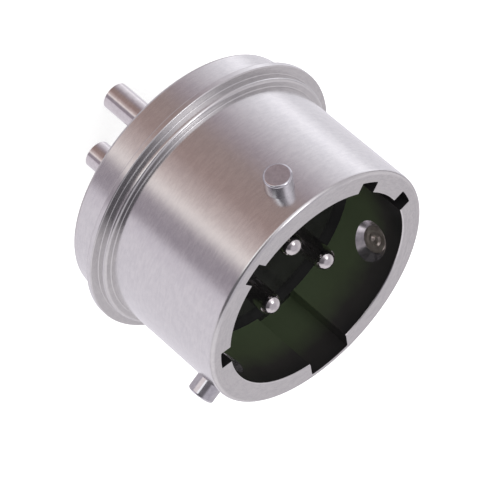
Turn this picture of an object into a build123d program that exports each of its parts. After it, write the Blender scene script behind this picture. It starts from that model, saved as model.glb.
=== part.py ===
from build123d import *
from math import cos, radians, sin
import os

# Sealed three-contact bayonet receptacle that is soldered into a panel hole.
# Sizes are millimetres. The origin is the centre of the flange's seating face, +Z points
# out of the mating mouth, and +Y points at the main keyway.

# Shell, one turned piece
barrel_dia = 19.05
bore_dia = 15.59
mouth_height = 11.3
rim_chamfer = 0.25
bore_chamfer = 0.1
flange_dia = 21.57
flange_thickness = 0.45
flange_edge_break = 0.06
shoulder_dia = 20.2
shoulder_height = 1.1
shoulder_chamfer = 0.18
pilot_dia = 19.84
pilot_length = 2.43
pilot_chamfer = 0.2
rear_chamfer = 0.35

# Keyways, cut from the rim down to the seal
main_key_angle = 90
main_key_width = 3.35
main_key_floor_dia = 18.0
minor_key_width = 1.62
minor_key_floor_dia = 17.35
minor_key_offsets = (105, 140, 215, 265)
key_corner_radius = 0.15

# Bayonet pins, pressed through the barrel wall from inside the bore
bayonet_angles = (-90, 30, 150)
bayonet_height = 8.83
bayonet_dia = 1.98
over_pins_dia = 21.6
bayonet_end_chamfer = 0.12
bayonet_head_dia = 2.62
bayonet_head_thickness = 0.6
bayonet_head_chamfer = 0.17
bayonet_web = 0.52
bayonet_punch_radius = 0.7
bayonet_dimple_depth = 0.16
press_clearance = 0.005
head_clearance = 0.07

# Seal, fused glass that fills the bore
seal_depth = 5.9
seal_thickness = 6.3
wall_collar = 0.45
contact_collar = 0.28

# Contacts, turned pins with a solder cup behind
contact_circle_dia = 5.78
contact_angles = (-90, 30, 150)
contact_dia = 1.588
contact_recess = 1.62
shank_dia = 1.75
shank_taper = 0.6
cup_dia = 2.1
cup_bore_dia = 1.72
cup_gap = 0.6
cup_shoulder = 0.25
cup_end_below_flange = 9.1
cup_depth = 5.4
cup_drill_cone = 0.45
scoop_length = 2.9
scoop_level = 0.25
scoop_slope = 1.0

barrel_radius = barrel_dia / 2
bore_radius = bore_dia / 2
flange_radius = flange_dia / 2
shoulder_radius = shoulder_dia / 2
pilot_radius = pilot_dia / 2
head_seat_radius = barrel_radius - bayonet_web
seal_front = mouth_height - seal_depth
seal_rear = seal_front - seal_thickness
contact_radius = contact_dia / 2
shank_radius = shank_dia / 2
contact_tip = mouth_height - contact_recess
collar_front = seal_front + contact_collar
collar_rear = seal_rear - contact_collar

os.makedirs("parts", exist_ok=True)


def direction(angle):
    """Unit vector in the XY plane at an angle in degrees."""
    return Vector(cos(radians(angle)), sin(radians(angle)), 0)


def upright_plane(x=0.0, y=0.0, z=0.0):
    """Sketch plane whose local x is +X and whose local y is +Z."""
    return Plane(origin=(x, y, z), x_dir=(1, 0, 0), z_dir=(0, -1, 0))


def save(part, name):
    """Label a finished piece and write its STEP file."""
    part.label = name
    export_step(part, f"parts/{name}.step")


# Shell: the turned section is revolved, then the keyways and pin holes are cut
with BuildPart() as shell:
    with BuildSketch(upright_plane()) as section:
        with BuildLine():
            rear = -pilot_length
            Polyline(
                (bore_radius, rear + rear_chamfer),
                (bore_radius + rear_chamfer, rear),
                (pilot_radius - pilot_chamfer, rear),
                (pilot_radius, rear + pilot_chamfer),
                (pilot_radius, 0),
                (flange_radius - flange_edge_break, 0),
                (flange_radius, flange_edge_break),
                (flange_radius, flange_thickness - flange_edge_break),
                (flange_radius - flange_edge_break, flange_thickness),
                (shoulder_radius, flange_thickness),
                (shoulder_radius, shoulder_height - shoulder_chamfer),
                (shoulder_radius - shoulder_chamfer, shoulder_height),
                (barrel_radius, shoulder_height),
                (barrel_radius, mouth_height - rim_chamfer),
                (barrel_radius - rim_chamfer, mouth_height),
                (bore_radius + bore_chamfer, mouth_height),
                (bore_radius, mouth_height - bore_chamfer),
                (bore_radius, rear + rear_chamfer),
            )
        make_face()
    revolve(axis=Axis.Z)

    # Each keyway is a straight strip that ends on an arc concentric with the barrel
    minor_angles = [main_key_angle + offset for offset in minor_key_offsets]
    keyways = [(main_key_angle, main_key_width, main_key_floor_dia)]
    keyways += [(angle, minor_key_width, minor_key_floor_dia) for angle in minor_angles]
    for key_angle, key_width, floor_dia in keyways:
        with BuildSketch(Plane.XY.offset(mouth_height)) as keyway:
            Circle(floor_dia / 2)
            with PolarLocations(floor_dia / 2, 1, start_angle=key_angle):
                Rectangle(bore_radius, key_width, mode=Mode.INTERSECT)
            corners = keyway.vertices().sort_by_distance((0, 0, mouth_height))[-2:]
            fillet(corners, key_corner_radius)
        extrude(amount=-seal_depth, mode=Mode.SUBTRACT)

    # Each pin hole is drilled outwards from the axis, so its counterbore opens into the bore
    for angle in bayonet_angles:
        outwards = Plane(origin=(0, 0, bayonet_height), z_dir=direction(angle))
        with BuildSketch(outwards):
            Circle(bayonet_head_dia / 2 + head_clearance)
        extrude(amount=head_seat_radius, mode=Mode.SUBTRACT)
        with BuildSketch(outwards):
            Circle(bayonet_dia / 2 + press_clearance)
        extrude(amount=barrel_dia, mode=Mode.SUBTRACT)

save(shell.part, "shell")

# Bayonet pins: a headed pin, revolved about its own radial axis
for number, angle in enumerate(bayonet_angles, start=1):
    radial = direction(angle)
    pin_axis = Axis((0, 0, bayonet_height), radial)
    pin_plane = Plane(
        origin=(0, 0, bayonet_height),
        x_dir=radial,
        z_dir=radial.cross(Vector(0, 0, 1)),
    )
    head_face = head_seat_radius - bayonet_head_thickness
    pin_end = over_pins_dia / 2
    with BuildPart() as bayonet_pin:
        with BuildSketch(pin_plane):
            with BuildLine():
                Polyline(
                    (head_face, 0),
                    (pin_end, 0),
                    (pin_end, bayonet_dia / 2 - bayonet_end_chamfer),
                    (pin_end - bayonet_end_chamfer, bayonet_dia / 2),
                    (head_seat_radius, bayonet_dia / 2),
                    (head_seat_radius, bayonet_head_dia / 2),
                    (head_face + bayonet_head_chamfer, bayonet_head_dia / 2),
                    (head_face, bayonet_head_dia / 2 - bayonet_head_chamfer),
                    (head_face, 0),
                )
            make_face()
        revolve(axis=pin_axis)
        # A round punch leaves the dimple in the head
        punch_depth = head_face + bayonet_dimple_depth - bayonet_punch_radius
        punch = Plane(origin=radial * punch_depth + Vector(0, 0, bayonet_height), z_dir=radial)
        with Locations(punch.location):
            Sphere(bayonet_punch_radius, mode=Mode.SUBTRACT)
    save(bayonet_pin.part, f"bayonet_pin_{number}")

# Seal: a glass disc that climbs the bore wall in front, and each contact in front and behind
contact_points = [direction(angle) * (contact_circle_dia / 2) for angle in contact_angles]

with BuildPart() as seal:
    with BuildSketch(upright_plane()):
        with BuildLine():
            Polyline(
                (0, seal_rear),
                (bore_radius, seal_rear),
                (bore_radius, seal_front + wall_collar),
                (bore_radius - wall_collar, seal_front),
                (0, seal_front),
                close=True,
            )
        make_face()
    revolve(axis=Axis.Z)
    for point in contact_points:
        contact_axis = Axis((point.X, point.Y, 0), (0, 0, 1))
        with BuildSketch(upright_plane(point.X, point.Y)):
            with BuildLine():
                Polyline(
                    (0, seal_front),
                    (contact_radius + contact_collar, seal_front),
                    (contact_radius, collar_front),
                    (0, collar_front),
                    close=True,
                )
            make_face()
            with BuildLine():
                Polyline(
                    (0, seal_rear),
                    (shank_radius + contact_collar, seal_rear),
                    (shank_radius, collar_rear),
                    (0, collar_rear),
                    close=True,
                )
            make_face()
        revolve(axis=contact_axis)
        # The hole has the contact's own outline
        with BuildSketch(upright_plane(point.X, point.Y)):
            with BuildLine():
                Polyline(
                    (0, collar_front),
                    (contact_radius, collar_front),
                    (shank_radius, collar_front - shank_taper),
                    (shank_radius, collar_rear),
                    (0, collar_rear),
                    close=True,
                )
            make_face()
        revolve(axis=contact_axis, mode=Mode.SUBTRACT)

save(seal.part, "seal")

# Contacts: each is turned from one piece, then its solder cup is scooped open towards +Y
cup_end = -cup_end_below_flange
cup_floor = cup_end + cup_depth
cup_top = seal_rear - cup_gap

for number, point in enumerate(contact_points, start=1):
    with BuildPart() as contact:
        with BuildSketch(upright_plane(point.X, point.Y)):
            with BuildLine():
                CenterArc((0, contact_tip - contact_radius), contact_radius, 0, 90)
                Polyline(
                    (contact_radius, contact_tip - contact_radius),
                    (contact_radius, collar_front),
                    (shank_radius, collar_front - shank_taper),
                    (shank_radius, cup_top),
                    (cup_dia / 2, cup_top - cup_shoulder),
                    (cup_dia / 2, cup_end),
                    (cup_bore_dia / 2, cup_end),
                    (cup_bore_dia / 2, cup_floor),
                    (0, cup_floor + cup_drill_cone),
                    (0, contact_tip),
                )
            make_face()
        revolve(axis=Axis((point.X, point.Y, 0), (0, 0, 1)))
        scoop_plane = Plane(origin=(point.X, point.Y, cup_end), x_dir=(0, 1, 0), z_dir=(1, 0, 0))
        with BuildSketch(scoop_plane):
            with BuildLine():
                Polyline(
                    (scoop_level, -cup_dia),
                    (scoop_level, scoop_length),
                    (cup_dia, scoop_length + scoop_slope * (cup_dia - scoop_level)),
                    (cup_dia, -cup_dia),
                    close=True,
                )
            make_face()
        extrude(amount=cup_dia, both=True, mode=Mode.SUBTRACT)
    save(contact.part, f"contact_{number}")
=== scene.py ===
import bmesh
import bpy
from math import hypot, pi, radians
from mathutils import Matrix, Vector


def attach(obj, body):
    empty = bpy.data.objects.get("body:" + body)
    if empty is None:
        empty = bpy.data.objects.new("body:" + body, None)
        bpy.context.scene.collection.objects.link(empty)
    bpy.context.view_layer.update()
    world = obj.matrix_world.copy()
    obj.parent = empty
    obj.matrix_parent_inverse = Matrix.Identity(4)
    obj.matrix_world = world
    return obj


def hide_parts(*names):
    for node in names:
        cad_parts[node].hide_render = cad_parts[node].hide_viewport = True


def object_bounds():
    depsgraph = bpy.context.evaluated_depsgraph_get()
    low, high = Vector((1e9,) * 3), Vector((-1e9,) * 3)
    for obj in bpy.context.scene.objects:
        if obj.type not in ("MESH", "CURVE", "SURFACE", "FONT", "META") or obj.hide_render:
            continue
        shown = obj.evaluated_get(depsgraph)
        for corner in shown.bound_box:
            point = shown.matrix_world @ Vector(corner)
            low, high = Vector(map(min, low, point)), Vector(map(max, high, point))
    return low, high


# Sealed bayonet receptacle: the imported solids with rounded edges, real finishes and a soft studio.
# Lengths are written in millimetres, and MM turns them to metres.

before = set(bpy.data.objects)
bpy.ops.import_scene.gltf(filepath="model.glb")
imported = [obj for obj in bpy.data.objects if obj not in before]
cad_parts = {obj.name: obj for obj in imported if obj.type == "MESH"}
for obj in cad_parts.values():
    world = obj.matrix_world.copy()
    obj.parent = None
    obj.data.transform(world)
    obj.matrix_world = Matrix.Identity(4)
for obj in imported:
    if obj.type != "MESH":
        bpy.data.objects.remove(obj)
cad_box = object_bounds()

MM = 0.001
# Points closer than WELD are merged, a point within NEAR of a ring is on it, and facets that turn
# less than FLAT_TURN are one face
WELD = 0.001
NEAR = 0.01
FLAT_TURN = radians(0.5)

# Where the photograph was taken from
CAMERA_PLACE = (70.984, -182.945, 112.704)
CAMERA_RIGHT = (-0.73925, 0.11008, 0.66438)
CAMERA_UP = (-0.59637, -0.56527, -0.56992)
CAMERA_LENS = 247.31
CAMERA_SENSOR = 36.0
CAMERA_NEAR = 10.0
CAMERA_FAR = 10000.0

# Shell: corners of its turned section as (radius, level, rounding), from the bore's rear end round
SHELL_STEPS = 160
BORE_RADIUS = 7.795
RIM_LEVEL = 11.3
SECTION = (
    (BORE_RADIUS, -2.43, 0.35),
    (9.92, -2.43, 0.2),
    (9.92, 0, 0),
    (10.785, 0, 0.06),
    (10.785, 0.45, 0.07),
    (10.1, 0.45, 0.05),
    (10.1, 1.1, 0.2),
    (9.525, 1.1, 0.06),
    (9.525, RIM_LEVEL, 0.28),
    (BORE_RADIUS, RIM_LEVEL, 0.09),
)
# Facets of a rounding, and of one wider than WIDE_ROUNDING
WIDE_ROUNDING = 0.15
FACETS = 3
WIDE_FACETS = 5
# Material slots of the shell's faces; bare steel is slot 0, and the bore wall's slot holds its oxide
# with a painted reflection of the glass
SUNK, BORE_WALL, GLAZED = 1, 2, 3

# Keyways: angle, width and floor radius of each
KEYWAYS = (
    (90, 3.35, 9.0),
    (195, 1.62, 8.675),
    (230, 1.62, 8.675),
    (305, 1.62, 8.675),
    (355, 1.62, 8.675),
)
KEY_END = 5.4
KEY_CORNER = 0.15
KEY_STEPS = 360
# The bar that cuts a keyway starts inside the bore and reaches past the rim
KEY_BAR_START = 6.0
KEY_BAR_LENGTH = 7.0

# Bayonet pins, and the countersunk holes they sit in
PIN_ANGLES = (-90, 30, 150)
PIN_STEPS = 72
HOLE_STEPS = 64
PIN_HEIGHT = 8.83
PIN_RADIUS = 0.99
PIN_END = 10.8
PIN_ROUND = 0.16
PIN_FACETS = 4
HOLE_RADIUS = 0.995
# The countersink has this radius at the bore wall, and its sides slope by 45 degrees
COUNTERSINK_RADIUS = 1.38
COUNTERSINK_END = BORE_RADIUS + COUNTERSINK_RADIUS - HOLE_RADIUS
# The drill runs from inside the bore to outside the barrel
DRILL_START = 7.0
DRILL_END = 12.0
# Nearer to the axis than this, a pin is browned by the firing
FIRED_REACH = 9.0
# A pin's inner end as (radius, depth below its face): centre mark, raised rings, grooves between
PIN_FACE = (
    (0, 0.15), (0.1, 0.13), (0.2, 0.03), (0.28, -0.04), (0.37, -0.04), (0.44, 0.01), (0.52, 0.06),
    (0.6, 0.05), (0.68, 0), (0.76, -0.02), (0.84, 0), (0.93, 0), (0.99, 0.04))

# Seal: the collars' feet are the edges near its front face that turn more than COLLAR_TURN
SEAL_FRONT = 5.4
FOOT_REACH = 0.1
FOOT_ROUND = 0.22
COLLAR_TURN = radians(20)
# Beyond this radius the glass has wetted the shell's wall and cooled duller
WETTED_RADIUS = 7.1

# Edges that turn less than SOFT_TURN are smooth, and those up to SHARP_TURN where the larger
# facet is less than LIKE_SIZE times the smaller one
SOFT_TURN = radians(6)
SHARP_TURN = radians(32)
LIKE_SIZE = 3


def linear(hex_colour):
    """An sRGB colour written as RRGGBB, in linear light with alpha 1."""
    channels = [int(hex_colour[i:i + 2], 16) / 255 for i in (0, 2, 4)]
    return [c / 12.92 if c <= 0.04045 else ((c + 0.055) / 1.055) ** 2.4 for c in channels] + [1]


def add(tree, kind, settings, *inputs):
    """A shader node with its settings; each input is its name or number and a socket or a value."""
    node = tree.nodes.new("ShaderNode" + kind)
    for name, value in settings.items():
        if name == "stops":
            elements = node.color_ramp.elements
            for position, _ in value[2:]:
                elements.new(position)
            for element, (position, colour) in zip(elements, value):
                element.position = position
                element.color = linear(colour)
        else:
            setattr(node, name, value)
    for name, source in inputs:
        if isinstance(source, bpy.types.NodeSocket):
            tree.links.new(source, node.inputs[name])
        else:
            node.inputs[name].default_value = source
    return node


def new_material(name, *inputs):
    """A material, its tree, its shader with these inputs, and its Object coordinates."""
    made = bpy.data.materials.new(name)
    made.use_nodes = True
    tree = made.node_tree
    tree.nodes.clear()
    shader = add(tree, "BsdfPrincipled", {}, *inputs)
    add(tree, "OutputMaterial", {}, ("Surface", shader.outputs[0]))
    return made, tree, shader, add(tree, "TexCoord", {}).outputs["Object"]


def turned_stainless(name, light, dark, roughness):
    """Passivated stainless steel as a lathe leaves it: satin, with fine rings round the axis."""
    made, tree, shader, place = new_material(name, ("Metallic", 1.0))
    x, y, z = add(tree, "SeparateXYZ", {}, (0, place)).outputs
    flat = add(tree, "CombineXYZ", {}, (0, x), (1, y)).outputs[0]
    radius = add(tree, "VectorMath", {"operation": "LENGTH"}, (0, flat)).outputs["Value"]
    # the rings lie 0.08 mm apart, drawn coarser than real to show, in strokes about 0.5 mm long
    across = add(tree, "Math", {"operation": "SUBTRACT"}, (0, z), (1, radius)).outputs[0]
    round_x = add(tree, "Math", {"operation": "MULTIPLY"}, (0, x), (1, 0.2)).outputs[0]
    round_y = add(tree, "Math", {"operation": "MULTIPLY"}, (0, y), (1, 0.2)).outputs[0]
    rings = add(tree, "CombineXYZ", {}, (0, round_x), (1, round_y), (2, across)).outputs[0]
    grain = add(tree, "TexNoise", {}, ("Vector", rings), ("Scale", 1 / (0.16 * MM)),
                ("Detail", 2.0), ("Roughness", 0.6)).outputs["Fac"]
    mottle = add(tree, "TexNoise", {}, ("Vector", place), ("Scale", 1 / (0.5 * MM)),
                 ("Detail", 3.0), ("Roughness", 0.7)).outputs["Fac"]
    both = add(tree, "Mix", {}, ("Factor", 0.5), (2, grain), (3, mottle)).outputs[0]
    colour = add(tree, "ValToRGB", {"stops": ((0.4, dark), (0.6, light))}, (0, both)).outputs[0]
    dulled = add(tree, "MapRange", {}, ("Value", both), ("From Min", 0.4), ("From Max", 0.6),
                 ("To Min", roughness * 0.94), ("To Max", roughness * 1.06)).outputs[0]
    bump = add(tree, "Bump", {}, ("Height", both), ("Strength", 0.08),
               ("Distance", 0.003 * MM)).outputs[0]
    tree.links.new(colour, shader.inputs["Base Color"])
    tree.links.new(dulled, shader.inputs["Roughness"])
    tree.links.new(bump, shader.inputs["Normal"])
    return made


def drawn_metal(name, light, dark, roughness, patch):
    """Smooth metal with faintly duller patches of the given size, in millimetres."""
    made, tree, shader, place = new_material(name, ("Metallic", 1.0))
    patches = add(tree, "TexNoise", {}, ("Vector", place), ("Scale", 1 / (patch * MM)),
                  ("Detail", 4.0), ("Roughness", 0.6)).outputs["Fac"]
    stops = ((0.35, dark), (0.65, light))
    colour = add(tree, "ValToRGB", {"stops": stops}, (0, patches)).outputs[0]
    dulled = add(tree, "MapRange", {}, ("Value", patches), ("From Min", 0.35), ("From Max", 0.65),
                 ("To Min", roughness * 0.85), ("To Max", roughness * 1.15)).outputs[0]
    tree.links.new(colour, shader.inputs["Base Color"])
    tree.links.new(dulled, shader.inputs["Roughness"])
    return made


def oxide_and_painted_reflection():
    """Shell wall oxidised when the glass was fired, dull and dark, with a painted reflection of the
    green glass: green low down, and grey-black at the mouth.
    """
    made, tree, shader, place = new_material("oxide_and_painted_reflection", ("Roughness", 0.42),
                                             ("Specular IOR Level", 0.3))
    _, y, z = add(tree, "SeparateXYZ", {}, (0, place)).outputs
    # the painted green reflection ends lower on the side away from the main keyway
    towards_key = add(tree, "Math", {"operation": "MINIMUM"}, (0, y), (1, 2 * MM)).outputs[0]
    tilted = add(tree, "Math", {"operation": "MULTIPLY_ADD"}, (0, towards_key), (1, -0.5),
                 (2, z)).outputs[0]
    stains = add(tree, "TexNoise", {}, ("Vector", place), ("Scale", 1 / (2.2 * MM)),
                 ("Detail", 3.0)).outputs["Fac"]
    shifted = add(tree, "Math", {"operation": "MULTIPLY_ADD"}, (0, stains), (1, 1.6 * MM),
                  (2, tilted)).outputs[0]
    level = add(tree, "MapRange", {}, ("Value", shifted), ("From Min", 5.2 * MM),
                ("From Max", 11.1 * MM)).outputs[0]
    # painted reflection: green where the wall mirrors the glass, grey-black towards the mouth
    stops = ((0.0, "5C6A4F"), (0.45, "4E5842"), (0.75, "343231"), (1.0, "201F20"))
    colour = add(tree, "ValToRGB", {"stops": stops}, (0, level)).outputs[0]
    tree.links.new(colour, shader.inputs["Base Color"])
    return made


def fired_steel(name, light, dark, metallic, roughness):
    """Steel that was fired with the glass: a thin oxide film takes the edge off its shine."""
    made, tree, shader, place = new_material(name, ("Metallic", metallic), ("Roughness", roughness))
    stains = add(tree, "TexNoise", {}, ("Vector", place), ("Scale", 1 / (0.5 * MM)),
                 ("Detail", 3.0)).outputs["Fac"]
    colour = add(tree, "ValToRGB", {"stops": ((0.35, dark), (0.65, light))}, (0, stains)).outputs[0]
    tree.links.new(colour, shader.inputs["Base Color"])
    return made


def fused_glass(name, light, dark, roughness, specular):
    """Fused glass seal: opaque black, clouded faintly; its roughness says how it cooled."""
    made, tree, shader, place = new_material(name, ("Roughness", roughness),
                                             ("Specular IOR Level", specular))
    clouds = add(tree, "TexNoise", {}, ("Vector", place), ("Scale", 1 / (1.2 * MM)),
                 ("Detail", 3.0)).outputs["Fac"]
    colour = add(tree, "ValToRGB", {"stops": ((0.3, dark), (0.7, light))}, (0, clouds)).outputs[0]
    tree.links.new(colour, shader.inputs["Base Color"])
    return made


def joined_copy(node):
    """A CAD node's mesh with its loose triangles merged and its flat areas whole."""
    build = bmesh.new()
    build.from_mesh(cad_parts[node].data)
    bmesh.ops.remove_doubles(build, verts=build.verts, dist=WELD * MM)
    bmesh.ops.dissolve_limit(build, angle_limit=FLAT_TURN, verts=build.verts, edges=build.edges)
    return build


def turned(outline, closed, steps):
    """A bmesh turned about +Z from an outline of (radius, level) points in millimetres."""
    build = bmesh.new()
    points = [build.verts.new((radius * MM, 0, level * MM)) for radius, level in outline]
    lines = [build.edges.new(pair) for pair in zip(points, points[1:])]
    if closed:
        lines.append(build.edges.new((points[-1], points[0])))
    bmesh.ops.spin(build, geom=points + lines, cent=(0, 0, 0), axis=(0, 0, 1), angle=2 * pi,
                   steps=steps, use_merge=True)
    bmesh.ops.remove_doubles(build, verts=build.verts, dist=WELD * MM)
    bmesh.ops.recalc_face_normals(build, faces=build.faces)
    return build


def ring_radius(point):
    """Distance from the Z axis, in millimetres."""
    return hypot(point.x, point.y) / MM


def round_ring(build, radius, level, width, segments):
    """Rounds the edges that lie on one ring of a turned piece."""
    edges = [edge for edge in build.edges if all(
        abs(ring_radius(end.co) - radius) < NEAR and abs(end.co.z / MM - level) < NEAR
        for end in edge.verts)]
    bmesh.ops.bevel(build, geom=edges, offset=width * MM, offset_type="OFFSET", segments=segments,
                    profile=0.5, affect="EDGES", clamp_overlap=False, material=-1)


def keyway_tool(angle, width, floor):
    """The bar that a keyway is cut with; its outer face is concentric with the barrel."""
    build = bmesh.new()
    middle = Matrix.Translation((0, 0, (KEY_END + KEY_BAR_LENGTH / 2) * MM))
    bmesh.ops.create_cone(build, cap_ends=True, segments=KEY_STEPS, radius1=floor * MM,
                          radius2=floor * MM, depth=KEY_BAR_LENGTH * MM, matrix=middle)
    sides = (((0, width / 2, 0), (0, 1, 0)), ((0, -width / 2, 0), (0, -1, 0)),
             ((KEY_BAR_START, 0, 0), (-1, 0, 0)))
    for point, outwards in sides:
        whole = build.verts[:] + build.edges[:] + build.faces[:]
        cut = bmesh.ops.bisect_plane(build, geom=whole, plane_co=Vector(point) * MM,
                                     plane_no=outwards, clear_outer=True)
        loop = [edge for edge in cut["geom_cut"] if isinstance(edge, bmesh.types.BMEdge)]
        bmesh.ops.contextual_create(build, geom=loop)
    corners = [edge for edge in build.edges if all(
        end.co.x > BORE_RADIUS * MM and abs(end.co.y) > (width / 2 - WELD) * MM
        for end in edge.verts) and abs(edge.verts[0].co.z - edge.verts[1].co.z) > MM]
    bmesh.ops.bevel(build, geom=corners, offset=KEY_CORNER * MM, offset_type="OFFSET",
                    segments=FACETS, profile=0.5, affect="EDGES", clamp_overlap=True, material=-1)
    bmesh.ops.recalc_face_normals(build, faces=build.faces)
    for face in build.faces:
        face.material_index = GLAZED if face.normal.z < -0.9 else BORE_WALL
    bmesh.ops.transform(build, verts=build.verts, matrix=Matrix.Rotation(radians(angle), 4, "Z"))
    return build


def pin_hole_tool(pin_frame):
    """The drill and the countersink of a bayonet pin's hole."""
    outline = ((0, DRILL_START), (HOLE_RADIUS + COUNTERSINK_END - DRILL_START, DRILL_START),
               (HOLE_RADIUS, COUNTERSINK_END), (HOLE_RADIUS, DRILL_END), (0, DRILL_END))
    build = turned(outline, False, HOLE_STEPS)
    for face in build.faces:
        face.material_index = SUNK
    bmesh.ops.transform(build, verts=build.verts, matrix=pin_frame)
    return build


def scene_object(name, build):
    """A new object of a bmesh, at the origin."""
    mesh = bpy.data.meshes.new(name)
    build.to_mesh(mesh)
    build.free()
    made = bpy.data.objects.new(name, mesh)
    bpy.context.scene.collection.objects.link(made)
    return made


def smooth_piece(name, build, materials, node):
    """The finished object for a CAD node: round faces smooth, and flats true up to their edges."""
    for face in build.faces:
        face.smooth = True
    for edge in build.edges:
        turn = edge.calc_face_angle(pi)
        areas = sorted(face.calc_area() for face in edge.link_faces)
        edge.smooth = turn < SOFT_TURN or turn < SHARP_TURN and areas[-1] < LIKE_SIZE * areas[0]
    piece = scene_object(name, build)
    for finish in materials:
        piece.data.materials.append(finish)
    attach(piece, "root")
    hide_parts(node)


def cut_away(build, tools):
    """A bmesh with the shapes of the tools cut away."""
    blank = scene_object("blank", build)
    cutters = [scene_object("cutter", tool) for tool in tools]
    for cutter in cutters:
        cut = blank.modifiers.new("cut", "BOOLEAN")
        cut.operation = "DIFFERENCE"
        cut.solver = "EXACT"
        cut.object = cutter
    graph = bpy.context.evaluated_depsgraph_get()
    build = bmesh.new()
    build.from_mesh(blank.evaluated_get(graph).to_mesh())
    for used in [blank] + cutters:
        bpy.data.objects.remove(used)
    return build


steel = turned_stainless("turned_stainless", "D7D6D6", "CFCECF", 0.2)
pin_steel = drawn_metal("drawn_pin_steel", "D0CFD4", "C2C1C6", 0.13, 0.25)
nickel = drawn_metal("bright_nickel_plate", "D6D2D3", "CAC6C7", 0.12, 0.3)
browned = fired_steel("fired_pin_end", "D2C8C0", "B0A69E", 0.7, 0.22)
countersunk = fired_steel("fired_countersink", "E4E0E4", "C8C4C8", 0.92, 0.22)
# the bore wall: dull oxide with a painted reflection of the green glass
oxide_and_reflection = oxide_and_painted_reflection()
glass = fused_glass("fused_black_glass", "2F2F2E", "242423", 0.14, 0.5)
wetted_glass = fused_glass("glass_over_oxide", "272727", "1E1E1E", 0.6, 0.1)
# A pin's own +Z points outwards from the shell's axis
pin_frames = [Matrix.Translation((0, 0, PIN_HEIGHT * MM)) @ Matrix.Rotation(radians(angle), 4, "Z")
              @ Matrix.Rotation(radians(90), 4, "Y") for angle in PIN_ANGLES]

# Shell: turned from bar with its corners rounded, then keyed and drilled
build = turned([corner[:2] for corner in SECTION], True, SHELL_STEPS)
for radius, level, width in SECTION:
    if width:
        round_ring(build, radius, level, width, WIDE_FACETS if width > WIDE_ROUNDING else FACETS)
# bore faces take the oxide with its painted reflection of the glass
for face in build.faces:
    if all(ring_radius(corner.co) < BORE_RADIUS + NEAR for corner in face.verts):
        face.material_index = BORE_WALL
keyway_tools = [keyway_tool(*keyway) for keyway in KEYWAYS]
pin_hole_tools = [pin_hole_tool(pin_frame) for pin_frame in pin_frames]
build = cut_away(build, keyway_tools + pin_hole_tools)
smooth_piece("shell_turned", build, (steel, countersunk, oxide_and_reflection, glass), "shell")

# Seal: the glass climbs the wall and the contacts in a smooth curve
build = joined_copy("seal")
feet = [edge for edge in build.edges
        if len(edge.link_faces) == 2 and edge.calc_face_angle() > COLLAR_TURN
        and all(abs(end.co.z / MM - SEAL_FRONT) < FOOT_REACH for end in edge.verts)]
bmesh.ops.bevel(build, geom=feet, offset=FOOT_ROUND * MM, offset_type="OFFSET", segments=FACETS,
                profile=0.5, affect="EDGES", clamp_overlap=True, material=-1)
for face in build.faces:
    inner = min(ring_radius(corner.co) for corner in face.verts)
    face.material_index = 1 if inner > WETTED_RADIUS else 0
smooth_piece("seal_fused", build, (glass, wetted_glass), "seal")

# Bayonet pins: turned with a rounded outer end, and peened at the inner end, which fills the hole
pin_outline = [(radius, COUNTERSINK_END + depth) for radius, depth in PIN_FACE]
pin_outline += [(PIN_RADIUS, PIN_END), (0, PIN_END)]
for number, pin_frame in enumerate(pin_frames, start=1):
    build = turned(pin_outline, False, PIN_STEPS)
    round_ring(build, PIN_RADIUS, PIN_END, PIN_ROUND, PIN_FACETS)
    for face in build.faces:
        fired = all(corner.co.z < FIRED_REACH * MM for corner in face.verts)
        face.material_index = 1 if fired else 0
    bmesh.ops.transform(build, verts=build.verts, matrix=pin_frame)
    smooth_piece(f"bayonet_pin_turned_{number}", build, (pin_steel, browned),
                 f"bayonet_pin_{number}")

# Contacts keep the solids' meshes, and the replaced solids get their pieces' finishes
finishes = {"shell": steel, "seal": glass}
finishes.update({f"bayonet_pin_{number}": pin_steel for number in (1, 2, 3)})
finishes.update({f"contact_{number}": nickel for number in (1, 2, 3)})
for name, finish in finishes.items():
    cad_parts[name].data.materials.clear()
    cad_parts[name].data.materials.append(finish)

# Floor under the solder cups: white, with the part's shadow
FLOOR_REACH = 2000.0
FLOOR_COLOUR = "E6E6E6"
FLOOR_GLOW = 0.75
build = bmesh.new()
level_with_cups = Matrix.Translation((0, 0, cad_box[0].z))
bmesh.ops.create_grid(build, x_segments=1, y_segments=1, size=FLOOR_REACH * MM,
                      matrix=level_with_cups)
floor = scene_object("floor", build)
floor.visible_glossy = False
paper, tree, shader, _ = new_material("white_paper", ("Roughness", 0.9),
                                      ("Base Color", linear(FLOOR_COLOUR)))
seen = add(tree, "LightPath", {}).outputs["Is Camera Ray"]
glow = add(tree, "Emission", {}, ("Strength", FLOOR_GLOW)).outputs[0]
bright = add(tree, "AddShader", {}, (0, shader.outputs[0]), (1, glow)).outputs[0]
mixed = add(tree, "MixShader", {}, (0, seen), (1, shader.outputs[0]), (2, bright)).outputs[0]
tree.links.new(mixed, tree.nodes["Material Output"].inputs["Surface"])
floor.data.materials.append(paper)

# Studio round the part: white to the camera, and to the metal a light tent with a dim camera side
world = bpy.data.worlds.new("studio")
bpy.context.scene.world = world
world.use_nodes = True
tree = world.node_tree
tree.nodes.clear()
rays = add(tree, "LightPath", {}).outputs
heading = add(tree, "TexCoord", {}).outputs["Generated"]
height = add(tree, "SeparateXYZ", {}, (0, heading)).outputs[2]
from_x = add(tree, "VectorRotate", {"rotation_type": "Z_AXIS"}, ("Vector", heading),
             ("Angle", pi)).outputs[0]
around = add(tree, "TexGradient", {"gradient_type": "RADIAL"}, ("Vector", from_x)).outputs["Fac"]
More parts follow.
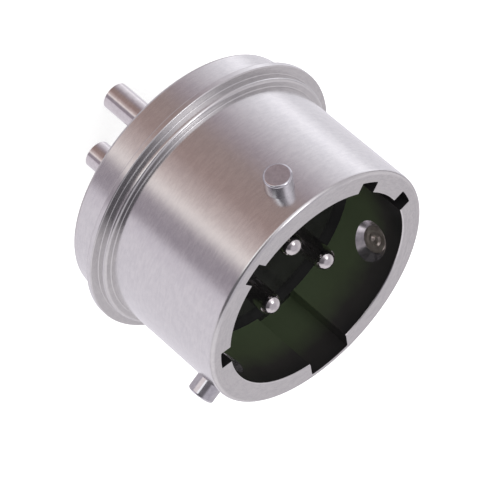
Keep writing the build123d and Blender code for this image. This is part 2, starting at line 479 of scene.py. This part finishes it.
# What the metal mirrors, by azimuth: position 0 is +X and the position grows the way azimuth does.
# Just below the horizon a pale side, a white sweep, a brown table, a cream strip and a dark gap
WALL_STOPS = (
    (0.00, "CAC5CC"), (0.45, "CECCD2"), (0.50, "F5F3F9"), (0.54, "DAD8DE"), (0.66, "968C92"),
    (0.71, "8E7E7B"), (0.78, "937F7B"), (0.84, "BEB0AE"), (0.87, "E6DEDC"), (0.90, "8E868E"),
    (0.95, "8E868E"), (0.97, "C6C0C8"))
# At the horizon a dim far side, and a white strip that ends at the dark gap
HORIZON_STOPS = (
    (0.00, "BCB8BC"), (0.30, "B0ACB0"), (0.45, "8C888C"), (0.60, "A8A4A8"), (0.78, "D8D4D8"),
    (0.84, "FFFFFF"), (0.87, "FFFFFF"), (0.90, "5A575B"), (0.97, "5A575B"))
# Above it pale cards, a white card under the lamp and a dark camera side
CARD_STOPS = (
    (0.00, "8C888C"), (0.06, "CCC8CC"), (0.23, "CCC8CC"), (0.31, "AEAAAE"), (0.40, "C4C0C4"),
    (0.60, "AAA6AA"), (0.69, "F4F0F4"), (0.74, "E4E0E4"), (0.80, "868286"), (0.86, "686569"),
    (0.95, "58555A"))
# The table under the part and the top of the tent are an even pale grey
TABLE_COLOUR = "ACA6AB"
TOP_COLOUR = "AAA6AC"
# The camera sees white, and matt surfaces are lit by nearly white
BACKDROP_COLOUR = "FFFFFF"
FILL_COLOUR = "F2F2F2"
TENT_GAIN = 1.5
walls = add(tree, "ValToRGB", {"stops": WALL_STOPS}, (0, around)).outputs[0]
horizon = add(tree, "ValToRGB", {"stops": HORIZON_STOPS}, (0, around)).outputs[0]
cards = add(tree, "ValToRGB", {"stops": CARD_STOPS}, (0, around)).outputs[0]
# Where one band blends into the next, by the height of a direction, which runs from -1 to 1
above_walls = add(tree, "MapRange", {}, ("Value", height), ("From Min", -0.12),
                  ("From Max", -0.03)).outputs[0]
above_horizon = add(tree, "MapRange", {}, ("Value", height), ("From Min", 0.12),
                    ("From Max", 0.22)).outputs[0]
above_cards = add(tree, "MapRange", {}, ("Value", height), ("From Min", 0.74),
                  ("From Max", 0.88)).outputs[0]
below_walls = add(tree, "MapRange", {}, ("Value", height), ("From Min", -0.6),
                  ("From Max", -0.72)).outputs[0]
tent = add(tree, "MixRGB", {}, (0, below_walls), (1, walls), (2, linear(TABLE_COLOUR))).outputs[0]
tent = add(tree, "MixRGB", {}, (0, above_walls), (1, tent), (2, horizon)).outputs[0]
tent = add(tree, "MixRGB", {}, (0, above_horizon), (1, tent), (2, cards)).outputs[0]
tent = add(tree, "MixRGB", {}, (0, above_cards), (1, tent), (2, linear(TOP_COLOUR))).outputs[0]
mirrored = add(tree, "VectorMath", {"operation": "SCALE"}, (0, tent),
               ("Scale", TENT_GAIN)).outputs[0]
lit = add(tree, "MixRGB", {}, (0, rays["Is Glossy Ray"]), (1, linear(FILL_COLOUR)),
          (2, mirrored)).outputs[0]
shown = add(tree, "MixRGB", {}, (0, rays["Is Camera Ray"]), (1, lit),
            (2, linear(BACKDROP_COLOUR))).outputs[0]
sky = add(tree, "Background", {}, ("Color", shown)).outputs[0]
add(tree, "OutputWorld", {}, ("Surface", sky))


def softbox(name, place, width, power):
    """A round lamp of this width, in millimetres, and power, in watts, that faces the part."""
    lamp = bpy.data.lights.new(name, "AREA")
    lamp.shape = "DISK"
    lamp.size = width * MM
    lamp.energy = power
    stand = bpy.data.objects.new(name, lamp)
    bpy.context.scene.collection.objects.link(stand)
    stand.location = Vector(place) * MM
    stand.rotation_mode = "QUATERNION"
    stand.rotation_quaternion = (-stand.location).to_track_quat("-Z", "Y")


softbox("key_softbox", (-45, -138, 179), 80, 0.04)

# Camera
camera_data = bpy.data.cameras.new("camera")
camera_data.lens = CAMERA_LENS
camera_data.sensor_width = CAMERA_SENSOR
camera_data.clip_start = CAMERA_NEAR * MM
camera_data.clip_end = CAMERA_FAR * MM
camera = bpy.data.objects.new("camera", camera_data)
bpy.context.scene.collection.objects.link(camera)
right, up = Vector(CAMERA_RIGHT), Vector(CAMERA_UP)
turn = Matrix((right, up, right.cross(up))).transposed().to_4x4()
camera.matrix_world = Matrix.Translation(Vector(CAMERA_PLACE) * MM) @ turn
bpy.context.scene.camera = camera
bpy.context.scene.view_settings.view_transform = "Standard"
